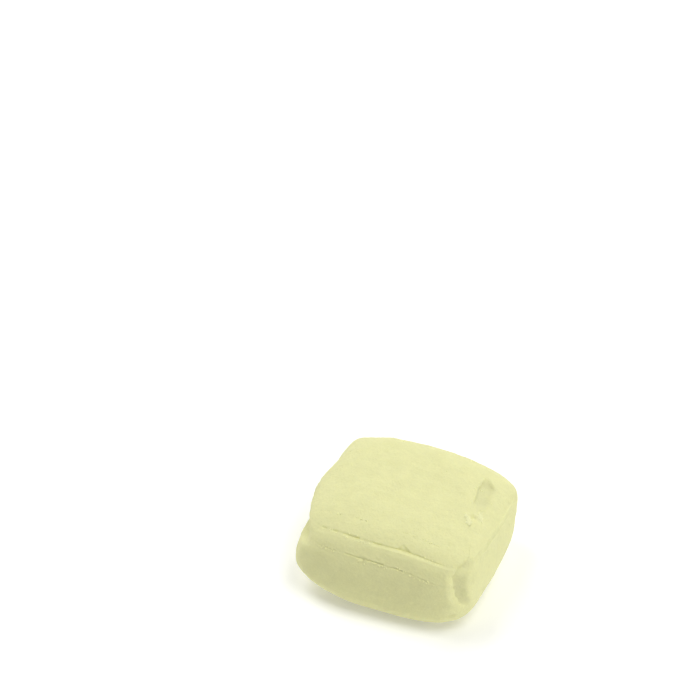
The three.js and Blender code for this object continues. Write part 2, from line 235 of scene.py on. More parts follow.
# The top rounds down from this girth angle to the fold, by this drop, and comes back over this
# distance below it. The drop fades towards the left end, and partly towards the right end.
SHOULDER_ANGLE = 112.0
SHOULDER_DROP = 0.42
SHOULDER_BACK = (0.4, 5.0)
SHOULDER_FADE = (2.5, 8.0)
SHOULDER_FADE_LEFT = (7.0, 9.2)
SHOULDER_LOSES = 0.7

# The scratch that runs along the edge of the top, and where it shows.
SCRATCH_HALF_WIDTH = 0.08
SCRATCH_DEPTH = 0.04
SCRATCH_OPEN = [
    [-6.9, -6.2, 0.6], [-4.5, -4.1, 0.8], [-3.9, -2.3, 0.9], [-0.5, 0.45, 1.0], [1.5, 1.75, 0.8],
    [3.3, 4.0, 0.5], [4.3, 5.9, 0.7], [6.0, 7.4, 0.4],
]

# Short pulled scratches low on the front: girth angle, from and to along X, and depth.
FRONT_SCRATCHES = [
    [178.0, -1.7, -1.2, 0.5], [181.4, -2.3, -1.8, 0.9], [181.2, -1.8, -0.1, 0.5],
    [186.4, -1.65, -1.2, 0.8], [184.0, 0.6, 1.0, 0.4], [186.6, 1.2, 1.9, 1.0],
    [185.9, 1.9, 3.1, 0.5], [185.4, 3.8, 4.2, 0.9], [185.9, 4.35, 5.0, 0.6],
    [187.0, 5.6, 6.0, 0.7], [170.0, 1.9, 2.1, 0.3], [192.0, -4.0, -2.6, 0.3],
]
FRONT_SCRATCH_HALF_WIDTH = 0.09
FRONT_SCRATCH_DEPTH = 0.05
FRONT_SCRATCH_WANDER = 0.02

# The back has a fold and a split like those at the front, seen in a mirror and shallower.
BACK_SHIFT = 0.8
BACK_SHARE = 0.75

# Small marks on the finished surface: place, size and how far they stand out.
MARKS = [
    # The pit between the two torn flakes, and the swell under the larger one.
    [(6.66, -0.33, 4.95), (0.3, 0.14, 0.4), -0.26],
    [(6.2, -1.0, 5.0), (0.35, 0.6, 0.6), 0.05],
    # A dent in the lower front corner, and the corner's softer turn beyond it.
    [(7.03, -7.11, -2.1), (0.45, 0.5, 0.26), -0.16],
    [(8.5, -6.9, -1.5), (1.4, 1.2, 1.2), -0.26],
    # The front is fuller below the fold towards the right.
    [(4.7, -8.1, 2.3), (2.6, 3.0, 1.4), 0.19],
    # A swell in the back edge of the top, and a flat beyond it.
    [(0.2, 7.6, 4.2), (2.4, 2.5, 3.0), 0.13],
    [(5.8, 7.3, 4.2), (2.2, 2.5, 3.0), -0.1],
    # A swell at the back end of the pinched ridge, and flats below it and low on the cut end.
    [(8.95, 5.8, 3.2), (0.8, 1.2, 0.8), 0.22],
    [(9.6, 5.4, -0.4), (1.6, 1.8, 1.7), -0.22],
    [(9.1, -3.4, -2.4), (1.5, 2.2, 1.3), -0.2],
    # The left back corner stands out a little more, and the left front underside less.
    [(-8.0, 6.6, 3.5), (0.9, 0.9, 0.9), 0.1],
    [(-6.3, 7.3, 3.9), (1.2, 1.0, 1.0), -0.1],
    [(-5.4, -7.4, -3.5), (2.0, 1.0, 1.0), -0.09],
    # A pit near the left back corner, and shallow smudges on the top.
    [(-7.82, 4.22, 4.18), (0.14, 0.14, 0.3), -0.09],
    [(-1.55, 3.44, 5.26), (0.42, 0.34, 0.6), -0.03],
    [(3.97, 2.25, 5.23), (0.3, 0.25, 0.6), -0.02],
    [(4.3, 0.5, 5.2), (0.25, 0.22, 0.6), -0.02],
    # A raised smear with a dimple beyond it, and flecks scattered over the top.
    [(-4.25, 2.9, 5.1), (0.4, 0.16, 0.5), 0.035],
    [(-3.5, 3.25, 5.15), (0.2, 0.3, 0.5), -0.03],
    [(-5.2, 2.7, 5.0), (0.15, 0.15, 0.5), 0.02],
    [(-3.75, 4.7, 5.05), (0.14, 0.16, 0.5), 0.025],
    [(-3.95, 5.55, 5.0), (0.3, 0.1, 0.5), 0.02],
    [(-0.34, 2.95, 5.28), (0.2, 0.08, 0.5), 0.03],
    [(-0.38, 3.2, 5.28), (0.12, 0.08, 0.5), -0.03],
    [(0.6, -3.63, 5.33), (0.08, 0.22, 0.5), -0.025],
    [(-9.05, 1.42, 3.56), (0.3, 0.2, 0.4), -0.04],
]

# Fine straight nicks and ridges: both ends, half width and height.
NICKS = [
    [(2.0, 5.75, 5.24), (2.85, 5.5, 5.25), 0.06, 0.03],
    [(3.35, 5.35, 5.23), (4.15, 5.1, 5.2), 0.07, 0.045],
    [(5.0, 4.9, 5.1), (5.7, 4.4, 5.05), 0.1, 0.02],
    [(-7.4, 3.2, 4.6), (-6.3, 3.5, 4.9), 0.08, 0.02],
    [(6.62, -1.9, 4.95), (7.27, -3.7, 4.75), 0.14, 0.035],
]

# Ups and downs of the pulled strands and of the chalky surface: size along X, size across, height.
UNEVEN = [
    [2.4, 0.42, 0.008], [0.9, 0.2, 0.004],
    [0.9, 0.9, 0.022], [0.4, 0.4, 0.016], [0.24, 0.24, 0.012],
]

# The lengths of a line's bends off its course and of the changes in a split's width.
WANDER_CELL = 0.45
WANDER_FINE_CELL = 0.16
WANDER_FINE_SHARE = 0.6
CRACK_WIDTH_CELL = 0.2

# How far on from the seed each effect's noise starts, and a split's from its fold's. The torn
# edge's noise starts at the seed itself.
FRONT_NOISE = 0
CRACK_WIDTH_NOISE = 5
SPLIT_NOISE = 10
BACK_NOISE = 20
SCRATCH_NOISE = 40
FRONT_SCRATCH_NOISE = 50
UNEVEN_NOISE = 60

# The pinched double ridge across the right cut end, and the facet that falls away below it.
PINCH_BACK = (9.15, 4.3, 3.3)
PINCH_FRONT = (8.3, -4.4, 4.0)
PINCH_HEIGHT = 0.12
PINCH_HALF_WIDTH = 0.15
PINCH_APART = 0.42
PINCH_SECOND = 0.5
PINCH_PAST = 0.1
PINCH_FADE = 0.25
FACET_DEPTH = 0.21
FACET_FALL = 1.0
FACET_CLIMB = (1.5, 3.5)

# Hand-pulled unevenness: height, waves along X, waves across, and where each wave starts.
WAVES = [[0.03, 0.45, 0.5, 0.4], [0.015, 0.9, -0.8, 2.1], [0.006, 0.3, 2.9, 1.2]]

# The grid that carries the surface. Its long edges are at these girth angles, and its lines crowd
# together near the places named by (share of a side, spread, how much closer).
CORNERS = (32.6, 145.6, 212.6, 327.4)
FULL_TURN = 360.0
CROWD_SAMPLES = 4001
ALONG_CROWD = [(0.0, 0.012, 3.0), (1.0, 0.012, 3.0)]
ACROSS_CROWD = [(0.0, 0.02, 3.0), (0.995, 0.03, 3.5)]
UP_CROWD = [(0.0, 0.04, 2.5), (1.0, 0.02, 2.0)]
CRACK_CROWD = (0.045, 2.6)

# Steps that find a place on the skin, cells after which the noise repeats, where between two places
# of its lattice noise along a line is read, and a distance too small to matter.
SOLVE_STEPS = 40
LATTICE = 64
HALFWAY = 0.5
TINY = 1e-5

# Torn flakes of skin: place, heading in degrees, length, width, and how far one long edge lifts.
Flake = namedtuple("Flake", "place heading length width lift")
FLAKES = [
    Flake((6.45, -1.05, 5.1), 122, 1.2, 0.56, 0.05),
    Flake((5.98, -0.5, 5.2), 110, 0.75, 0.42, 0.03),
    Flake((7.3, 0.1, 4.9), -54, 1.35, 0.46, 0.01),
    Flake((6.15, 3.44, 4.7), 10, 0.36, 0.16, 0.0),
    Flake((7.02, 0.98, 4.8), 15, 0.36, 0.2, 0.0),
    Flake((-9.6, -1.5, 2.2), -75, 0.9, 0.3, 0.1),
    Flake((7.2, 2.0, -4.6), 60, 0.8, 0.3, 0.1),
    Flake((-7.6, -3.0, -4.4), 110, 0.9, 0.3, 0.1),
]

# A flake's grid and thickness, how far it lies above the surface and its long edges tuck in, how
# rough it is, and how its ends taper and its edges wave.
FLAKE_CELLS = (16, 7)
FLAKE_THICKNESS = 0.04
FLAKE_RISE = 0.05
FLAKE_SUNK = 0.07
FLAKE_ROUGH = 0.018
FLAKE_TAPER = 2.2
FLAKE_WAVES = (5.0, 11.0)
FLAKE_WAVE_SIZE = 0.24
FLAKE_SHARP = math.radians(40)

# Crumbs along the long lines: line, from and to along X, how many, and their shift below the line
# and their scatter, both in degrees round the girth.
CRUMB_RUNS = [
    (CRACK_LINE, -6.5, -4.2, 16, 0.3, 0.7),
    (CRACK_LINE, -2.0, -0.8, 6, 2.4, 1.4),
    (CRACK_LINE, 0.2, 1.3, 10, 0.9, 0.5),
    (CRACK_LINE, 1.9, 6.0, 24, 0.4, 0.6),
    (CREASE_LINE, -2.6, -1.0, 30, 1.2, 0.8),
    (CREASE_LINE, -5.8, -3.0, 8, 0.8, 0.6),
    (CREASE_LINE, 4.2, 6.2, 7, 0.5, 0.4),
    (SCRATCH_LINE, -6.4, -4.6, 12, 0.0, 0.6),
    (SCRATCH_LINE, -3.9, -2.4, 5, -0.4, 0.5),
    (SCRATCH_LINE, 1.4, 6.0, 22, -0.2, 0.5),
    (BACK_CRACK_LINE, -6.5, 6.0, 40, -0.4, 0.8),
    (BACK_CREASE_LINE, -5.0, 5.0, 20, -0.8, 0.8),
]

# Crumbs that show one by one: place and radius.
SPECKS = [
    [(2.3, 4.24, 5.3), 0.09],
    [(4.35, -3.2, 5.3), 0.06],
    [(8.9, 0.3, 3.9), 0.08],
    [(8.95, 0.0, 3.7), 0.07],
    [(7.9, 3.9, 4.3), 0.07],
    [(8.1, 4.1, 4.2), 0.06],
    [(7.6, 2.2, 4.6), 0.08],
]

# A crumb's facets, roughness, stretch, spread of sizes and lift, as shares of its radius. Some lie
# in a band along each hollow's edge, and the dusting is finer.
CRUMB_SUBDIVISIONS = 2
CRUMB_ROUGH = 0.12
CRUMB_STRETCH = (0.7, 1.3)
CRUMB_SPREAD = (0.5, 1.3)
CRUMB_LIFT = -0.45
RIM_CRUMBS = 10
RIM_BAND = 0.22
DUST_SHARE = 0.5
DUST_REACH = 8.2

# Colours and sizes of the surface that the shader makes, in millimetres. The mark on the mesh says
# how much shade is painted into a hollow: it makes the colour there a little darker and greyer.
HOLLOW_SHADE_MARK = "painted_hollow_shade"
HOLLOW_SHADE_DARKER = 0.045
HOLLOW_SHADE_GREYER = 0.027
BROKEN_COLOR = (0.9, 0.89, 0.475)
WHITE = (1.0, 1.0, 1.0, 1.0)
CANDY_STREAKS = 0.4
NOISE_MIDDLE = 0.5
PATCH_SIZE = 1.2
PATCH_DETAIL = 4.0
STREAK_SIZE = 0.4
STREAK_DETAIL = 3.0
STREAK_SQUEEZE = 0.12
POWDER_SIZE = 0.2
POWDER_DETAIL = 2.0
POWDER_HEIGHT = 0.042
STREAK_HEIGHT = 0.006
DRYNESS_SWING = 0.08
SPECULAR = 0.08
INSIDE_COLOR_SPREAD = (1.0, 0.9, 0.6)
INSIDE_SPREAD = 0.3

# The studio: each soft light's azimuth, elevation and power, all of one size and distance.
LIGHTS = {
    "front_right_above": (71, 68, 1.54),
    "left_above": (270, 68, 1.19),
    "back": (180, 24, 0.97),
    "back_left": (225, 24, 0.4),
    "right": (77, 8, 0.6),
    "right_above": (90, 24, 0.33),
    "left": (270, 8, 0.6),
}
LIGHT_SIZE = 0.25
LIGHT_DISTANCE = 0.6
FLOOR_HALF = 1.5
FLOOR_ROUGHNESS = 0.9
SKY_GLOW = 0.1

# The picture: the camera's sensor, the picture's side in pixels, where the mint's middle lies in it
# right of and above its centre, and how high above the floor that middle is in millimetres.
SENSOR = 36.0
PICTURE = 700
MINT_IN_PICTURE = (60.0, -179.56)
MIDDLE_HEIGHT = 5.15
CLIP_START = 0.001


class MintShape(bpy.types.PropertyGroup):
    """Sizes of the mint's own shape."""

    cells_along: IntProperty(
        name="Cells Along", description="Grid cells from cut end to cut end", default=152, min=10)
    cells_across: IntProperty(
        name="Cells Across", description="Grid cells from back to front", default=118, min=10)
    cells_up: IntProperty(
        name="Cells Up", description="Grid cells from underside to top", default=110, min=10)
    crease_depth: FloatProperty(
        name="Crease Depth", description="Depth of the fold along the front",
        default=0.12 * MM, unit="LENGTH", subtype="DISTANCE", precision=5)
    crack_depth: FloatProperty(
        name="Crack Depth", description="Depth of the split along the front",
        default=0.1 * MM, unit="LENGTH", subtype="DISTANCE", precision=5)
    torn_edge: FloatProperty(
        name="Torn Edge", description="How far the skin's torn edges wander",
        default=TORN_SIZE * MM, unit="LENGTH", subtype="DISTANCE", precision=5)
    crumb_size: FloatProperty(
        name="Crumb Size", description="Radius of a usual crumb",
        default=0.075 * MM, unit="LENGTH", subtype="DISTANCE", precision=5)
    dusting: IntProperty(
        name="Dusting", description="How many small crumbs are dusted all over", default=80, min=0)
    seed: IntProperty(name="Seed", description="Start of every random draw", default=7, min=0)


class MintFinish(bpy.types.PropertyGroup):
    """Colour and surface of the candy."""

    candy_color: FloatVectorProperty(
        name="Candy Colour", description="Pale butter yellow of the pulled sugar",
        default=(0.81, 0.801, 0.425), size=3, subtype="COLOR", min=0.0, max=1.0)
    mottle: FloatProperty(
        name="Mottle", description="How much the yellow varies from place to place",
        default=0.11, subtype="FACTOR", min=0.0, max=1.0)
    roughness: FloatProperty(
        name="Roughness", description="Dryness of the surface",
        default=0.86, subtype="FACTOR", min=0.0, max=1.0)
    softness: FloatProperty(
        name="Softness", description="Share of the light that spreads inside the sugar",
        default=0.2, subtype="FACTOR", min=0.0, max=1.0)


class MintStudio(bpy.types.PropertyGroup):
    """Floor, lights and camera."""

    floor_color: FloatVectorProperty(
        name="Floor Colour", description="Pale floor under the mint",
        default=(0.93, 0.93, 0.93), size=3, subtype="COLOR", min=0.0, max=1.0)
    floor_glow: FloatProperty(
        name="Floor Glow", description="Light that the floor gives by itself", default=0.2, min=0.0)
    azimuth: FloatProperty(
        name="Camera Azimuth", description="How far round the mint the camera stands",
        default=math.radians(19.83), unit="ROTATION", subtype="ANGLE")
    elevation: FloatProperty(
        name="Camera Elevation", description="How far above the floor the camera looks from",
        default=math.radians(47.13), unit="ROTATION", subtype="ANGLE")
    distance: FloatProperty(
        name="Camera Distance", description="From the lens to the middle of the mint",
        default=0.294, unit="LENGTH", subtype="DISTANCE")
    lens: FloatProperty(
        name="Focal Length", description="Focal length in millimetres on a 36 mm sensor",
        default=154.2, unit="CAMERA")


# Numbers

def wrapped(angle):
    return np.mod(angle, FULL_TURN)


def turn_between(start, end):
    """The shortest way round from one girth angle to another."""
    return wrapped(end - start + FULL_TURN / 2) - FULL_TURN / 2


def smooth(value, low, high):
    """Eases from 0 to 1 as the value goes from low to high."""
    share = np.clip((value - low) / (high - low), 0.0, 1.0)
    return share * share * (3 - 2 * share)


def bump(away):
    """A smooth bump: 1 in the middle, and 0 from 1 away."""
    return np.where(np.abs(away) < 1, np.cos(away * math.pi / 2) ** 2, 0.0)


def round_girth(points, angle):
    """Reads a list of [girth angle, value] at any angle, with its corners rounded off."""
    angles, values = np.transpose(points)
    reads = [np.interp(angle + turn, angles, values, period=FULL_TURN) for turn in ROUNDING]
    return sum(reads) / len(reads)


@functools.cache
def lattice(seed):
    """Random values from -1 to 1 on a cube of places."""
    return np.random.default_rng(seed).uniform(-1, 1, (LATTICE, LATTICE, LATTICE))


def grain(points, seed):
    """Smooth noise from -1 to 1: the lattice's values, a unit apart, eased between its places."""
    values = lattice(seed)
    low = np.floor(points)
    part = smooth(points - low, 0, 1)
    low = low.astype(int)
    total = np.zeros(len(points))
    for corner in itertools.product((0, 1), repeat=3):
        weight = np.prod(np.where(corner, part, 1 - part), axis=1)
        at = (low + corner) % LATTICE
        total += weight * values[at[:, 0], at[:, 1], at[:, 2]]
    return total


def along_grain(x, cell, seed):
    """Smooth noise from -1 to 1 that changes along X alone."""
    halfway = np.full_like(x, HALFWAY)
    return grain(np.stack((x / cell, halfway, halfway), axis=1), seed)


# The pillow

def unit_share(value, half, powers):
    """How much of the pillow's unit size a distance along one axis uses up."""
    return (np.abs(value) / half) ** np.where(value > 0, *powers)


def steepness(value, half, powers):
    """How fast that share grows along its axis."""
    power = np.where(value > 0, *powers)
    return unit_share(value, half, powers) * power / np.where(value == 0, 1, value)


def outward(points):
    """The direction in which the pillow's surface faces at each point."""
    x, y, z = points.T
    slopes = (
        steepness(x, HALF_LENGTH, END_POWER),
        steepness(y, HALF_WIDTH, SIDE_POWER),
        steepness(z, HALF_HEIGHT, FLAT_POWER),
    )
    way = np.stack(slopes, axis=1)
    return way / np.linalg.norm(way, axis=1, keepdims=True)


def girth_points(x, angle):
    """Places on the pillow's skin."""
    across = np.cos(np.radians(angle))
    up = np.sin(np.radians(angle))
    ends = unit_share(x, HALF_LENGTH, END_POWER)
    inside = np.zeros_like(x)
    outside = np.full_like(x, HALF_LENGTH)
    for _ in range(SOLVE_STEPS):
        middle = (inside + outside) / 2
        width = unit_share(middle * across, HALF_WIDTH, SIDE_POWER)
        height = unit_share(middle * up, HALF_HEIGHT, FLAT_POWER)
        fits = ends + width + height < 1
        inside = np.where(fits, middle, inside)
        outside = np.where(fits, outside, middle)
    return np.stack((x, inside * across, inside * up), axis=1)


def end_points(side, y, z):
    """Places on one of the pillow's ends."""
    used = unit_share(y, HALF_WIDTH, SIDE_POWER) + unit_share(z, HALF_HEIGHT, FLAT_POWER)
    power = END_POWER[0] if side == RIGHT else END_POWER[1]
    x = side * HALF_LENGTH * np.maximum(0, 1 - used) ** (1 / power)
    return np.stack((x, y, z), axis=1)


def lean(x, girth):
    right = LEAN_RIGHT * smooth(x, LEAN_RIGHT_FROM, LEAN_UP_TO)
    left = LEAN_LEFT * smooth(-x, LEAN_LEFT_FROM, LEAN_UP_TO)
    return (right + left) * bump(turn_between(LEAN_MIDDLE, girth) / LEAN_SPREAD)


def leaning_points(x, girth):
    """Places on the pillow's skin at a girth angle that leans as the long lines do."""
    return girth_points(x, girth + lean(x, girth))


def warped(points):
    """Leans the cut pillow out of true and flattens it where it lies."""
    x, y, z = points.T
    return np.stack((
        x + SHEAR * y + BOW * y * y / HALF_WIDTH,
        y * (1 + TAPER * x / HALF_LENGTH),
        np.maximum(z, SETTLED - HALF_HEIGHT),
    ), axis=1)


def settle(points):
    """Brings drawn places over the frame's box, stands them on the floor, and makes them metres."""
    drawn = points - (*DRAWN_MIDDLE, SETTLED - HALF_HEIGHT)
    return drawn * MM + (MINT_MIDDLE.x, MINT_MIDDLE.y, MINT_LOW.z)


# Relief of the skin

def line_angle(line, x):
    """The girth angle of a long line of the skin, as a curve along X."""
    return sum(factor * x ** power for power, factor in enumerate(line))


def opened(runs, x):
    """How far a broken line is open at each place along X, from 0 to 1."""
    depth = np.zeros_like(x)
    for start, end, share in runs:
        starts = smooth(x, start - DASH_SOFT, start + DASH_SOFT)
        ends = smooth(x, end - DASH_SOFT, end + DASH_SOFT)
        depth = np.maximum(depth, share * starts * (1 - ends))
    return depth


def wander(x, size, seed):
    """A line's small turns off its course, in millimetres."""
    fine = WANDER_FINE_SHARE * along_grain(x, WANDER_FINE_CELL, seed + 1)
    return size * (along_grain(x, WANDER_CELL, seed) + fine)


def notch_height(x):
    left, tip, right = NOTCH
    rise = np.minimum((x - left) / (tip - left), (right - x) / (right - tip))
    return NOTCH_HEIGHT * np.clip(rise, 0, 1)


def fold_relief(down, x, shape):
    """A lip over a narrow gap, and a ledge that climbs out of the gap below it."""
    is_open = opened(CREASE_OPEN, x)
    kept = 1 - CREASE_LOSES * smooth(x, *CREASE_FADE)
    kept -= CREASE_LOSES_LEFT * smooth(-x, *CREASE_FADE_LEFT)
    depth = shape.crease_depth / MM * kept * (CREASE_CLOSED + (1 - CREASE_CLOSED) * is_open)
    lip = smooth(down + CREASE_GAP + notch_height(x), 0, CREASE_WALL)
    ledge = 1 - np.clip(down / (CREASE_LEDGE * kept), 0, 1) ** CREASE_SCOOP
    gap = GAP_DEEPER * is_open * bump(down / CREASE_WALL)
    return -lip * (depth * ledge + gap)


def crack_relief(down, x, shape):
    """A broken split with slightly raised lips, widest near its middle."""
    gapes = bump((x - CRACK_WIDEST) / CRACK_WIDE_FOR)
    uneven = along_grain(x, CRACK_WIDTH_CELL, shape.seed + CRACK_WIDTH_NOISE)
    wide = 1 + CRACK_WIDENS * gapes + CRACK_UNEVEN * uneven
    away = np.abs(down) / (CRACK_HALF_WIDTH * wide)
    lips = CRACK_LIP * bump((away - CRACK_LIP_AT) / CRACK_LIP_WIDTH)
    depth = shape.crack_depth / MM * (1 + CRACK_DEEPENS * gapes)
    return opened(CRACK_OPEN, x) * (lips - depth * np.maximum(0, 1 - away))


def spur_relief(down, x, shape):
    """A short crack that runs down from the split."""
    sway = SPUR_SWAY * np.sin(down * SPUR_SWAYS)
    across = np.maximum(0, 1 - np.abs(x - SPUR_X - sway) / SPUR_HALF_WIDTH)
    along = smooth(down, 0, SPUR_HALF_WIDTH) * (1 - smooth(down, SPUR_LENGTH / 2, SPUR_LENGTH))
    return -SPUR_SHARE * shape.crack_depth / MM * across * along


def scratch_relief(down, x, seed):
    """The long scratch at the edge of the top, and the short ones low on the front."""
    off_line = down(SCRATCH_LINE) + wander(x, CREASE_WANDER, seed + SCRATCH_NOISE)
    total = -SCRATCH_DEPTH * opened(SCRATCH_OPEN, x) * bump(off_line / SCRATCH_HALF_WIDTH)
    off_course = wander(x, FRONT_SCRATCH_WANDER, seed + FRONT_SCRATCH_NOISE)
    for angle, start, end, share in FRONT_SCRATCHES:
        away = (down((angle,)) + off_course) / FRONT_SCRATCH_HALF_WIDTH
        total -= FRONT_SCRATCH_DEPTH * opened([[start, end, share]], x) * bump(away)
    return total


def shoulder_relief(girth, below_crease, x):
    """The top rounds down ever more towards the fold, and the front comes back below it."""
    kept = (1 - SHOULDER_LOSES * smooth(x, *SHOULDER_FADE)) * (1 - smooth(-x, *SHOULDER_FADE_LEFT))
    share = turn_between(SHOULDER_ANGLE, girth) / (line_angle(CREASE_LINE, x) - SHOULDER_ANGLE)
    back = smooth(below_crease, *SHOULDER_BACK)
    return -SHOULDER_DROP * kept * np.clip(share, 0, 1) ** 2 * (1 - back)


def wave_relief(points):
    x, y, z = points.T
    return sum(
        out * np.sin(along * x + across * (y + z) + start)
        for out, along, across, start in WAVES)


def skin_relief(points, girth, shape):
    """How far the skin stands out or in. Down is the distance round the girth below a line."""
    radius = np.hypot(points[:, 1], points[:, 2])
    x = points[:, 0]
    seed = shape.seed

    def down(line):
        return np.radians(turn_between(line_angle(line, x), girth)) * radius

    def fold_and_split(fold, split, noise, at, way):
        """A fold and the split below it. The way is -1 where the girth angle runs upwards."""
        below_fold = way * (down(fold) + wander(x, CREASE_WANDER, seed + noise))
        below_split = way * (down(split) + wander(x, CRACK_WANDER, seed + noise + SPLIT_NOISE))
        return fold_relief(below_fold, at, shape) + crack_relief(below_split, at, shape)

    front = fold_and_split(CREASE_LINE, CRACK_LINE, FRONT_NOISE, x, 1)
    front += spur_relief(down(CRACK_LINE), x, shape)
    back = fold_and_split(BACK_CREASE_LINE, BACK_CRACK_LINE, BACK_NOISE, -x - BACK_SHIFT, -1)
    from_strand = turn_between(STRAND_ANGLE, girth)
    strand = STRAND_SWELL * (1 - STRAND_LOSES * smooth(-x, *STRAND_FADE_LEFT))
    strand *= bump(from_strand / np.where(from_strand > 0, STRAND_BELOW, STRAND_ABOVE))
    shoulder = shoulder_relief(girth, down(CREASE_LINE), x)
    scratches = scratch_relief(down, x, seed)
    return front + BACK_SHARE * back + strand + shoulder + scratches + wave_relief(points)


def uneven_relief(points, seed):
    """Pulled strands along X and the chalky unevenness of the sugar."""
    heights = [
        height * grain(points / (along, across, across), seed + UNEVEN_NOISE + place)
        for place, (along, across, height) in enumerate(UNEVEN)
    ]
    return sum(heights)


def mark_relief(points):
    total = np.zeros(len(points))
    for place, size, out in MARKS:
        away = (points - place) / size
        total += out * np.exp(-np.sum(away * away, axis=1))
    return total


def nick_relief(points):
    total = np.zeros(len(points))
    for start, end, half_width, height in NICKS:
        along = np.subtract(end, start)
        share = np.clip((points - start) @ along / (along @ along), 0, 1)
        away = np.linalg.norm(points - start - share[:, None] * along, axis=1)
        total += height * bump(away / half_width) * np.sqrt(1 - np.abs(2 * share - 1))
    return total


def finished(points, girth, relief, shape, hold=1.0):
    """Moves bare places out by their relief, swells the left end, and leans the result."""
    placed = warped(points)
    relief = relief + mark_relief(placed) + nick_relief(placed) + uneven_relief(points, shape.seed)
    moved = points + outward(points) * relief[:, None]
    towards_left = np.maximum(0, -points[:, 0] / HALF_LENGTH)
    moved[:, 0] -= round_girth(LEFT_SWELL, girth) * hold * towards_left ** SWELL_POWER
    return warped(moved)


# The skin's edges and the cut ends

def hollow_values(side, girth):
    """The hollows' depth and reach at one end, the edge's roll, how they sink, and their painted
    shade.
    """
    depth, reach, roll, sinking, coarse = np.zeros((5, len(girth)))
    for hollow in HOLLOWS[side]:
        into = wrapped(girth - hollow.start)
        left = hollow.end - hollow.start - into
        ends = smooth(into, 0, hollow.soft_start) * smooth(left, 0, hollow.soft_end)
        depth += hollow.depth * ends
        reach += hollow.reach * np.sqrt(ends)
        roll += hollow.roll * ends
        sinking = np.where(ends > 0, hollow.sinking, sinking)
        # Painted shade of the hollow that covers this girth angle.
        coarse = np.where(ends > 0, hollow.coarse, coarse)
    return depth, np.maximum(reach, LEAST_REACH), roll, sinking, coarse


def rim_reach(side, girth, shape):
    """How far from the middle the skin stops. It is torn only where it stands over a hollow."""
    waves = sum(np.sin(np.radians(girth * wave) + i) for i, wave in enumerate(RAGGED_WAVES))
    around = np.radians(girth)
    loop = np.stack((np.cos(around), np.sin(around), np.full_like(girth, side)), axis=1)
    torn = grain(loop * HALF_HEIGHT / TORN_GRAIN, shape.seed) * shape.torn_edge / MM
    stands = TORN_SHARE[side] * np.minimum(1, hollow_values(side, girth)[0] / TEARS_FROM)
    return round_girth(RIMS[side], girth) + (RAGGED_SIZE * waves + torn) * stands


def pinch_relief(points):
    back = np.array(PINCH_BACK)
    along = np.array(PINCH_FRONT) - back
    share = (points - back) @ along / (along @ along)
    above = (points - back - share[:, None] * along)[:, 2]
    first = bump(above / PINCH_HALF_WIDTH)
    second = PINCH_SECOND * bump((above + PINCH_APART) / PINCH_HALF_WIDTH)
    facet = FACET_DEPTH * smooth(-above, 0, FACET_FALL) * (1 - smooth(-above, *FACET_CLIMB))
    from_ends = np.minimum(share, 1 - share) + PINCH_PAST
    return (PINCH_HEIGHT * (first + second) - facet) * smooth(from_ends, 0, PINCH_FADE)


def skin_points(share, girth, shape):
    """Places on the skin: share runs from 0 at the left edge to 1 at the right edge."""
    left = -rim_reach(LEFT, girth, shape)
    right = rim_reach(RIGHT, girth, shape)
    x = left + (right - left) * share
    points = leaning_points(x, girth)
    relief = skin_relief(points, girth, shape)
    for side, from_rim in ((LEFT, x - left), (RIGHT, right - x)):
        near = np.maximum(0, 1 - from_rim / ROLL_WIDTH)
        relief -= hollow_values(side, girth)[2] * near * near
    return finished(points, girth, relief, shape)


def cut_points(side, y, z, shape):
    """Places on a cut end inside the skin's edge, where hollows reach outwards a little under it,
    and how much shade is painted there."""
    points = end_points(side, y, z)
    angle = wrapped(np.degrees(np.arctan2(z, y)))
    girth = angle - lean(points[:, 0], angle)
    torn = leaning_points(side * rim_reach(side, girth, shape), girth)
    whole = leaning_points(side * round_girth(RIMS[side], girth), girth)
    from_torn = np.linalg.norm(points - torn, axis=1)
    from_whole = np.linalg.norm(points - whole, axis=1)
    depth, reach, roll, sinking, coarse = hollow_values(side, girth)
    opens = smooth(from_torn, 0, HOLLOW_EDGE)
    inwards = np.minimum(1, from_whole / reach)
    bowl = 1 - inwards ** 2
    sunk = 1 - sinking * (1 - SINKING_GAIN * inwards)
    hollow = depth * sunk * bowl * bowl * (1 + HOLLOW_SHOULDER) / (bowl + HOLLOW_SHOULDER)
    share = np.minimum(1, np.hypot(y, z) / np.hypot(torn[:, 1], torn[:, 2]))
    relief = wave_relief(points) * share - hollow * opens - roll * (1 - opens)
    if side == RIGHT:
        relief += pinch_relief(warped(points))
    bare = finished(points, girth, relief, shape, share * share)
    outwards = (torn - points) / np.maximum(from_torn, TINY)[:, None]
    under = UNDERCUT * np.minimum(1, depth) * opens
    under *= 1 - smooth(from_torn, HOLLOW_EDGE, UNDERCUT_ENDS)
    # Painted shade: how much darker and greyer the colour is made in the hollow.
    broken = coarse * opens * (1 - inwards ** SHADE_FADE_POWER) * np.minimum(1, depth / SHADE_FULL_DEPTH)
    return bare + outwards * under[:, None], broken


# The grid

def crowded_lines(cells, places):
    """Grid lines from 0 to 1 that crowd together round each place."""
    along = np.linspace(0, 1, CROWD_SAMPLES)
    density = np.ones_like(along)
    for where, spread, gain in places:
        density += gain * np.exp(-((along - where) / spread) ** 2)
    passed = np.concatenate(([0], np.cumsum(density[1:] + density[:-1])))
    return np.interp(np.linspace(0, 1, cells + 1), passed / passed[-1], along)


def side_angle(side, share):
    """The girth angle at a share of one side. It runs evenly across Y on the top and underside, and
    evenly up Z at the front and back."""
    start = math.radians(CORNERS[side])
    end = math.radians(CORNERS[(side + 1) % len(CORNERS)])
    if side % 2 == 0:
        slope = 1 / math.tan(start) + (1 / math.tan(end) - 1 / math.tan(start)) * share
        up = 1.0 if side == 0 else -1.0
        return wrapped(np.degrees(np.arctan2(up, up * slope)))
    rise = math.tan(start) + (math.tan(end) - math.tan(start)) * share
    away = -1.0 if side == 1 else 1.0
    return wrapped(np.degrees(np.arctan2(away * rise, away)))


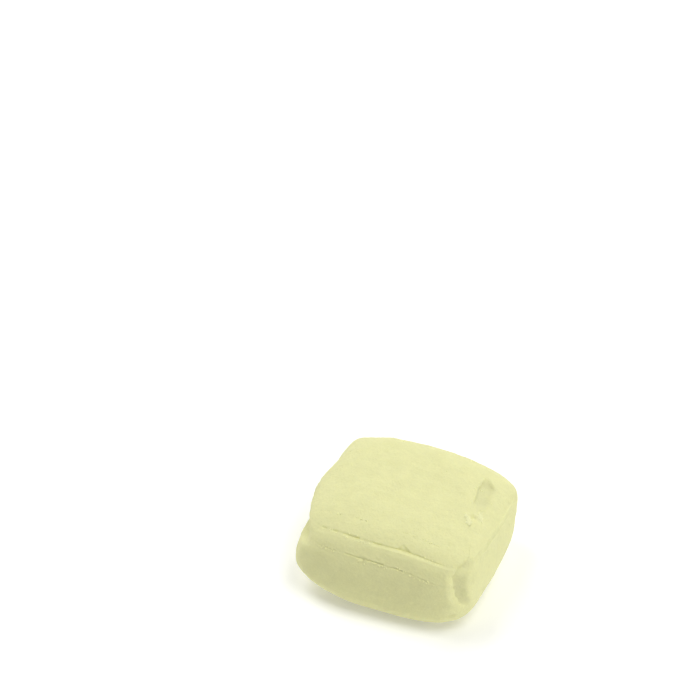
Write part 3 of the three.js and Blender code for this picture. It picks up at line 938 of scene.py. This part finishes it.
def front_share(angle):
    """The share of the front at which a girth angle lies."""
    angle, top, bottom = np.tan(np.radians([angle, CORNERS[1], CORNERS[2]]))
    return (angle - top) / (bottom - top)


def line_at(lines, coordinate):
    """The grid line of each vertex of the cube, whose coordinates run from -1 to 1."""
    return lines[np.rint((coordinate + 1) / 2 * (len(lines) - 1)).astype(int)]


def spread_inside(side, across, down, shape):
    """Spreads the edge of one cut end over the grid inside it, as Y and Z."""

    def edge(cube_side, share):
        girth = side_angle(cube_side, share)
        return leaning_points(side * rim_reach(side, girth, shape), girth)[:, 1:]

    a, d = across[:, None], down[:, None]
    sides = (
        edge(0, across) * (1 - d) + edge(2, 1 - across) * d
        + edge(3, 1 - down) * (1 - a) + edge(1, down) * a
    )
    back_top, front_top, front_low, back_low = (edge(k, np.zeros(1)) for k in range(len(CORNERS)))
    top = back_top * (1 - a) + front_top * a
    low = back_low * (1 - a) + front_low * a
    return sides - top * (1 - d) - low * d


def mould(cube, shape):
    """Where the gridded cube's vertices lie on the mint, in millimetres, and their hollow mark of
    painted shade.
    """
    up_crowd = [*UP_CROWD, (front_share(CRACK_LINE[0]), *CRACK_CROWD)]
    along = line_at(crowded_lines(shape.cells_along, ALONG_CROWD), cube[:, 0])
    across = line_at(crowded_lines(shape.cells_across, ACROSS_CROWD)[::-1], cube[:, 1])
    down = line_at(crowded_lines(shape.cells_up, up_crowd)[::-1], cube[:, 2])
    on_side = (
        cube[:, 2] > 1 - TINY,
        cube[:, 1] < TINY - 1,
        cube[:, 2] < TINY - 1,
        cube[:, 1] > 1 - TINY,
    )
    shares = (across, down, 1 - across, 1 - down)
    girth = np.select(on_side, [side_angle(side, share) for side, share in enumerate(shares)], -1.0)
    placed = np.zeros_like(cube)
    # How much shade is painted at each vertex; only the cut ends get any.
    broken = np.zeros(len(cube))
    skin = girth >= 0
    placed[skin] = skin_points(along[skin], girth[skin], shape)
    for side in (LEFT, RIGHT):
        end = ~skin & (cube[:, 0] * side > 0)
        y, z = spread_inside(side, across[end], down[end], shape).T
        placed[end], broken[end] = cut_points(side, y, z, shape)
    return placed, broken


# Meshes

def gridded_cube(shape):
    """A cube from -1 to 1 whose faces carry a grid."""
    bm = bmesh.new()
    bmesh.ops.create_cube(bm, size=2.0)
    for axis, cells in enumerate((shape.cells_along, shape.cells_across, shape.cells_up)):
        whole = [edge for edge in bm.edges if abs((edge.verts[0].co - edge.verts[1].co)[axis]) > 1]
        bmesh.ops.subdivide_edges(bm, edges=whole, cuts=cells - 1, use_grid_fill=True)
    return bm


def moulded(bm, shape):
    """Gives the gridded cube the mint's surface, and splits its cells the short way."""
    bm.verts.ensure_lookup_table()
    cube = np.array([vert.co[:] for vert in bm.verts])
    # The mesh carries the shade painted into the hollows as a mark.
    painted_hollow_shade = bm.verts.layers.float.new(HOLLOW_SHADE_MARK)
    placed, broken = mould(cube, shape)
    for vert, place, share in zip(bm.verts, settle(placed), broken):
        vert.co = place
        vert[painted_hollow_shade] = share
    bmesh.ops.recalc_face_normals(bm, faces=bm.faces)
    bmesh.ops.triangulate(bm, faces=bm.faces, quad_method="SHORT_EDGE")


def add_object(name, data):
    made = bpy.data.objects.new(name, data)
    bpy.context.scene.collection.objects.link(made)
    return made


def add_mesh(name, bm, material):
    mesh = bpy.data.meshes.new(name)
    bm.to_mesh(mesh)
    bm.free()
    mesh.materials.append(material)
    return add_object(name, mesh)


def add_piece(name, bm, material):
    """A smooth piece of candy that rides on the mint."""
    piece = add_mesh(name, bm, material)
    piece.data.shade_smooth()
    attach(piece, "root")
    return piece


def body_surface():
    """The moulded body, for finding the nearest place on it."""
    mesh = bpy.data.objects["mint_body"].data
    places = [vert.co for vert in mesh.vertices]
    return BVHTree.FromPolygons(places, [face.vertices for face in mesh.polygons])


def drawn_place(place):
    """A drawn place in millimetres, as metres in the frame."""
    return Vector(settle(np.array([place]))[0])


def skin_place(x, girth, shape):
    """Near the finished skin, at a distance along X and a girth angle."""
    x, girth = np.array([x]), np.array([girth])
    points = leaning_points(x, girth)
    return drawn_place(finished(points, girth, np.zeros(1), shape)[0])


def add_flake(bm, surface, flake, draw):
    """A thin wavy leaf of sugar that lies on the surface, with one long edge lifted."""
    spot, normal, _, _ = surface.find_nearest(drawn_place(flake.place))
    heading = math.radians(flake.heading)
    ahead = Vector((math.cos(heading), math.sin(heading), 0.0))
    ahead = (ahead - normal * ahead.dot(normal)).normalized()
    aside = normal.cross(ahead)
    starts = draw.uniform(0, math.tau, len(FLAKE_WAVES))
    cells_along, cells_across = FLAKE_CELLS
    leaf = bmesh.ops.create_grid(
        bm, x_segments=cells_along, y_segments=cells_across, size=1.0)["verts"]
    for vert in leaf:
        along, across, _ = vert.co
        waves = sum(math.sin(wave * along + start) for wave, start in zip(FLAKE_WAVES, starts))
        waves *= FLAKE_WAVE_SIZE
        wide = (1 - abs(along) ** FLAKE_TAPER) * (1 + waves) + FLAKE_WAVE_SIZE / 2
        flat = spot + (ahead * along * flake.length + aside * across * wide * flake.width) * MM / 2
        below = surface.find_nearest(flat)[0]
        lifted = FLAKE_RISE + flake.lift * ((1 - across) / 2) ** 2 * (1 + waves)
        uneven = FLAKE_ROUGH * draw.uniform(-1, 1) - FLAKE_SUNK * across ** 2
        vert.co = below + normal * (lifted + uneven) * MM
    faces = list(dict.fromkeys(face for vert in leaf for face in vert.link_faces))
    bmesh.ops.recalc_face_normals(bm, faces=faces)
    bmesh.ops.solidify(bm, geom=faces, thickness=FLAKE_THICKNESS * MM)


def add_crumb(bm, surface, place, radius, draw):
    """A small uneven lump, sunk partly into the surface."""
    spot, normal, _, _ = surface.find_nearest(place)
    radius *= draw.uniform(*CRUMB_SPREAD)
    turn = Euler(draw.uniform(0, math.tau, 3)).to_matrix().to_4x4()
    stretch = Matrix.Diagonal((*(radius * draw.uniform(*CRUMB_STRETCH, 3)), 1.0))
    matrix = Matrix.Translation(spot + normal * radius * CRUMB_LIFT) @ turn @ stretch
    lump = bmesh.ops.create_icosphere(
        bm, subdivisions=CRUMB_SUBDIVISIONS, radius=1.0, matrix=matrix)["verts"]
    for vert, shift in zip(lump, draw.uniform(-1, 1, (len(lump), 3))):
        vert.co += Vector(shift) * radius * CRUMB_ROUGH


def crumb_places(shape, draw):
    """Where the crumbs lie, with the usual radius of each."""
    usual = shape.crumb_size
    for line, start, end, count, shift, scatter in CRUMB_RUNS:
        for x in draw.uniform(start, end, count):
            yield skin_place(x, line_angle(line, x) + draw.normal(shift, scatter), shape), usual
    for side, hollows in HOLLOWS.items():
        for hollow in hollows:
            for girth in draw.uniform(hollow.start, hollow.end, RIM_CRUMBS):
                reach = float(rim_reach(side, np.array([girth]), shape)[0])
                yield skin_place(side * (reach - draw.uniform(0, RIM_BAND)), girth, shape), usual
    for place, radius in SPECKS:
        yield drawn_place(place), radius * MM
    for x in draw.uniform(-DUST_REACH, DUST_REACH, shape.dusting):
        yield skin_place(x, draw.uniform(0, FULL_TURN), shape), usual * DUST_SHARE


# Materials

def new_group(name, inputs, outputs):
    """An empty shader group with float and colour sockets."""
    group = bpy.data.node_groups.new(name, "ShaderNodeTree")
    for label, kind, default in inputs:
        socket = group.interface.new_socket(label, in_out="INPUT", socket_type=kind)
        socket.default_value = default
    for label, kind in outputs:
        group.interface.new_socket(label, in_out="OUTPUT", socket_type=kind)
    return group


def set_inputs(tree, node, values):
    """Links or sets a node's inputs, by name or number."""
    for key, value in values.items():
        if isinstance(value, bpy.types.NodeSocket):
            tree.links.new(value, node.inputs[key])
        else:
            node.inputs[key].default_value = value


def add_node(tree, kind, values, **settings):
    """Adds a node with its settings and inputs, and gives its outputs."""
    node = tree.nodes.new(kind)
    for setting, value in settings.items():
        setattr(node, setting, value)
    set_inputs(tree, node, values)
    return node.outputs


def math_node(tree, operation, first, second):
    return add_node(tree, "ShaderNodeMath", {0: first, 1: second}, operation=operation)[0]


def noise_node(tree, place, size, detail):
    values = {"Vector": place, "Scale": 1 / (size * MM), "Detail": detail}
    return add_node(tree, "ShaderNodeTexNoise", values)[0]


def chalky_sugar_group():
    """Soft patches, pulled streaks and powder, and shade painted into the hollows: a colour, a
    roughness and a height in metres.
    """
    name = "Chalky Sugar"
    if name in bpy.data.node_groups:
        return bpy.data.node_groups[name]
    color, number = "NodeSocketColor", "NodeSocketFloat"
    # The Broken input carries the shade painted into the hollows.
    inputs = [
        ("Color", color, WHITE), ("Mottle", number, 0.0), ("Streaks", number, 0.0),
        ("Dryness", number, 1.0), ("Broken", number, 0.0),
    ]
    tree = new_group(name, inputs, [("Color", color), ("Roughness", number), ("Height", number)])
    plus, minus, times = (
        functools.partial(math_node, tree, operation)
        for operation in ("ADD", "SUBTRACT", "MULTIPLY"))
    given = tree.nodes.new("NodeGroupInput").outputs
    place = tree.nodes.new("ShaderNodeTexCoord").outputs["Object"]
    squeeze = {"Vector": place, "Scale": (STREAK_SQUEEZE, 1.0, 1.0)}
    stretched = add_node(tree, "ShaderNodeMapping", squeeze)[0]
    patches = noise_node(tree, place, PATCH_SIZE, PATCH_DETAIL)
    streaks = noise_node(tree, stretched, STREAK_SIZE, STREAK_DETAIL)
    powder = noise_node(tree, place, POWDER_SIZE, POWDER_DETAIL)
    pulled = times(streaks, given["Streaks"])
    middle = plus(times(given["Streaks"], NOISE_MIDDLE), 2 * NOISE_MIDDLE)
    swing = minus(plus(plus(patches, pulled), powder), middle)
    mottled = plus(times(swing, given["Mottle"]), 1.0)
    # Painted shade: the Broken input, the hollow mark, makes the colour darker and greyer in the
    # hollows.
    tint = add_node(tree, "ShaderNodeHueSaturation", {
        "Color": given["Color"],
        "Value": minus(mottled, times(given["Broken"], HOLLOW_SHADE_DARKER)),
        "Saturation": minus(1.0, times(given["Broken"], HOLLOW_SHADE_GREYER)),
    })
    add_node(tree, "NodeGroupOutput", {
        "Color": tint[0],
        "Roughness": plus(given["Dryness"], times(swing, DRYNESS_SWING)),
        "Height": plus(times(powder, POWDER_HEIGHT * MM), times(pulled, STREAK_HEIGHT * MM)),
    })
    return tree


def sugar_material(name, color, finish, streaks):
    """Matt chalky sugar that lets a little light in."""
    if name in bpy.data.materials:
        return bpy.data.materials[name]
    material = bpy.data.materials.new(name)
    material.use_nodes = True
    tree = material.node_tree
    sugar = add_node(tree, "ShaderNodeGroup", {
        "Color": (*color, 1.0),
        "Mottle": finish.mottle,
        "Streaks": streaks,
        "Dryness": finish.roughness,
        # The hollow mark feeds the shade painted into the hollows.
        "Broken": add_node(tree, "ShaderNodeAttribute", {}, attribute_name=HOLLOW_SHADE_MARK)["Fac"],
    }, node_tree=chalky_sugar_group())
    bumps = {"Height": sugar["Height"], "Distance": 1.0, "Strength": 1.0}
    set_inputs(tree, tree.nodes["Principled BSDF"], {
        "Base Color": sugar["Color"],
        "Roughness": sugar["Roughness"],
        "Normal": add_node(tree, "ShaderNodeBump", bumps)[0],
        "Specular IOR Level": SPECULAR,
        "Subsurface Weight": finish.softness,
        "Subsurface Radius": INSIDE_COLOR_SPREAD,
        "Subsurface Scale": INSIDE_SPREAD * MM,
    })
    return material


def candy_material(finish):
    return sugar_material("Butter Yellow Sugar", finish.candy_color, finish, CANDY_STREAKS)


def broken_material(finish):
    return sugar_material("Freshly Broken Sugar", BROKEN_COLOR, finish, 0.0)


def floor_material(studio):
    material = bpy.data.materials.new("Pale Floor")
    material.use_nodes = True
    tree = material.node_tree
    set_inputs(tree, tree.nodes["Principled BSDF"], {
        "Base Color": (*studio.floor_color, 1.0),
        "Roughness": FLOOR_ROUGHNESS,
        "Specular IOR Level": 0.0,
        "Emission Color": WHITE,
        "Emission Strength": studio.floor_glow,
    })
    return material


# The studio

def back_from(azimuth, elevation):
    """The direction from the mint to a camera or a light. Azimuth 0 is in front of it."""
    return Vector((
        math.sin(azimuth) * math.cos(elevation),
        -math.cos(azimuth) * math.cos(elevation),
        math.sin(elevation),
    ))


def facing(place, way):
    """Where a camera or a light stands that looks back along a direction."""
    return Matrix.Translation(place) @ way.to_track_quat("Z", "Y").to_matrix().to_4x4()


def add_light(name, azimuth, elevation, power):
    light = bpy.data.lights.new(name, "AREA")
    light.size = LIGHT_SIZE
    light.energy = power
    way = back_from(math.radians(azimuth), math.radians(elevation))
    add_object(name, light).matrix_world = facing(MINT_MIDDLE + way * LIGHT_DISTANCE, way)


def add_sky(scene):
    world = bpy.data.worlds.new("Soft Room")
    world.use_nodes = True
    tree = world.node_tree
    set_inputs(tree, tree.nodes["Background"], {"Color": WHITE, "Strength": SKY_GLOW})
    scene.world = world


def add_camera(scene, studio):
    """Aims past the mint, so that it lies low and to the right in the picture."""
    data = bpy.data.cameras.new("camera")
    data.lens = studio.lens
    data.sensor_width = SENSOR
    data.clip_start = CLIP_START
    pixels = studio.lens / SENSOR * PICTURE
    elevation = studio.elevation + math.atan2(MINT_IN_PICTURE[1], pixels)
    azimuth = studio.azimuth + math.atan2(MINT_IN_PICTURE[0], pixels) / math.cos(elevation)
    target = Vector((MINT_MIDDLE.x, MINT_MIDDLE.y, MIDDLE_HEIGHT * MM))
    place = target + back_from(studio.azimuth, studio.elevation) * studio.distance
    camera = add_object("camera", data)
    camera.matrix_world = facing(place, back_from(azimuth, elevation))
    scene.camera = camera


# Operators

class BUTTERMINT_OT_mould_body(bpy.types.Operator):
    """Mould the mint's body over its solid"""

    bl_idname = "buttermint.mould_body"
    bl_label = "Mould Body"

    def execute(self, context):
        scene = context.scene
        bm = gridded_cube(scene.mint_shape)
        moulded(bm, scene.mint_shape)
        body = add_piece("mint_body", bm, candy_material(scene.mint_finish))
        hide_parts("mint")
        return {"FINISHED"}


class BUTTERMINT_OT_tear_flakes(bpy.types.Operator):
    """Add the torn flakes of skin at the cut ends"""

    bl_idname = "buttermint.tear_flakes"
    bl_label = "Tear Flakes"

    def execute(self, context):
        scene = context.scene
        surface = body_surface()
        draw = np.random.default_rng(scene.mint_shape.seed)
        bm = bmesh.new()
        for flake in FLAKES:
            add_flake(bm, surface, flake, draw)
        bmesh.ops.triangulate(bm, faces=bm.faces)
        flakes = add_piece("torn_flakes", bm, broken_material(scene.mint_finish))
        flakes.data.set_sharp_from_angle(angle=FLAKE_SHARP)
        return {"FINISHED"}


class BUTTERMINT_OT_scatter_crumbs(bpy.types.Operator):
    """Scatter sugar crumbs along the lines, the torn edges and all over"""

    bl_idname = "buttermint.scatter_crumbs"
    bl_label = "Scatter Crumbs"

    def execute(self, context):
        scene = context.scene
        surface = body_surface()
        draw = np.random.default_rng(scene.mint_shape.seed)
        bm = bmesh.new()
        for place, radius in crumb_places(scene.mint_shape, draw):
            add_crumb(bm, surface, place, radius, draw)
        add_piece("sugar_crumbs", bm, broken_material(scene.mint_finish))
        return {"FINISHED"}


class BUTTERMINT_OT_set_stage(bpy.types.Operator):
    """Set the floor, the lights and the camera"""

    bl_idname = "buttermint.set_stage"
    bl_label = "Set Stage"

    def execute(self, context):
        scene = context.scene
        studio = scene.mint_studio
        floor = bmesh.new()
        bmesh.ops.create_grid(floor, x_segments=1, y_segments=1, size=FLOOR_HALF)
        add_mesh("floor", floor, floor_material(studio))
        for name, values in LIGHTS.items():
            add_light(name, *values)
        add_sky(scene)
        add_camera(scene, studio)
        scene.view_settings.view_transform = "Standard"
        return {"FINISHED"}


class BUTTERMINT_PT_tools(bpy.types.Panel):
    """Lists the mint's steps and settings"""

    bl_idname = "BUTTERMINT_PT_tools"
    bl_label = "Buttermint"
    bl_space_type = "VIEW_3D"
    bl_region_type = "UI"
    bl_category = "Buttermint"

    def draw(self, context):
        column = self.layout.column()
        for operator in OPERATORS:
            column.operator(operator.bl_idname)
        for group in SETTINGS:
            settings = getattr(context.scene, group)
            for name in settings.__annotations__:
                column.prop(settings, name)


SETTINGS = {"mint_shape": MintShape, "mint_finish": MintFinish, "mint_studio": MintStudio}
OPERATORS = (
    BUTTERMINT_OT_mould_body,
    BUTTERMINT_OT_tear_flakes,
    BUTTERMINT_OT_scatter_crumbs,
    BUTTERMINT_OT_set_stage,
)
CLASSES = (*SETTINGS.values(), *OPERATORS, BUTTERMINT_PT_tools)


def register():
    for cls in CLASSES:
        bpy.utils.register_class(cls)
    for name, group in SETTINGS.items():
        setattr(bpy.types.Scene, name, PointerProperty(type=group))


def unregister():
    for name in SETTINGS:
        delattr(bpy.types.Scene, name)
    for cls in reversed(CLASSES):
        bpy.utils.unregister_class(cls)


def main():
    register()
    bpy.ops.buttermint.mould_body()
    bpy.ops.buttermint.tear_flakes()
    bpy.ops.buttermint.scatter_crumbs()
    bpy.ops.buttermint.set_stage()


if __name__ == "__main__":
    main()
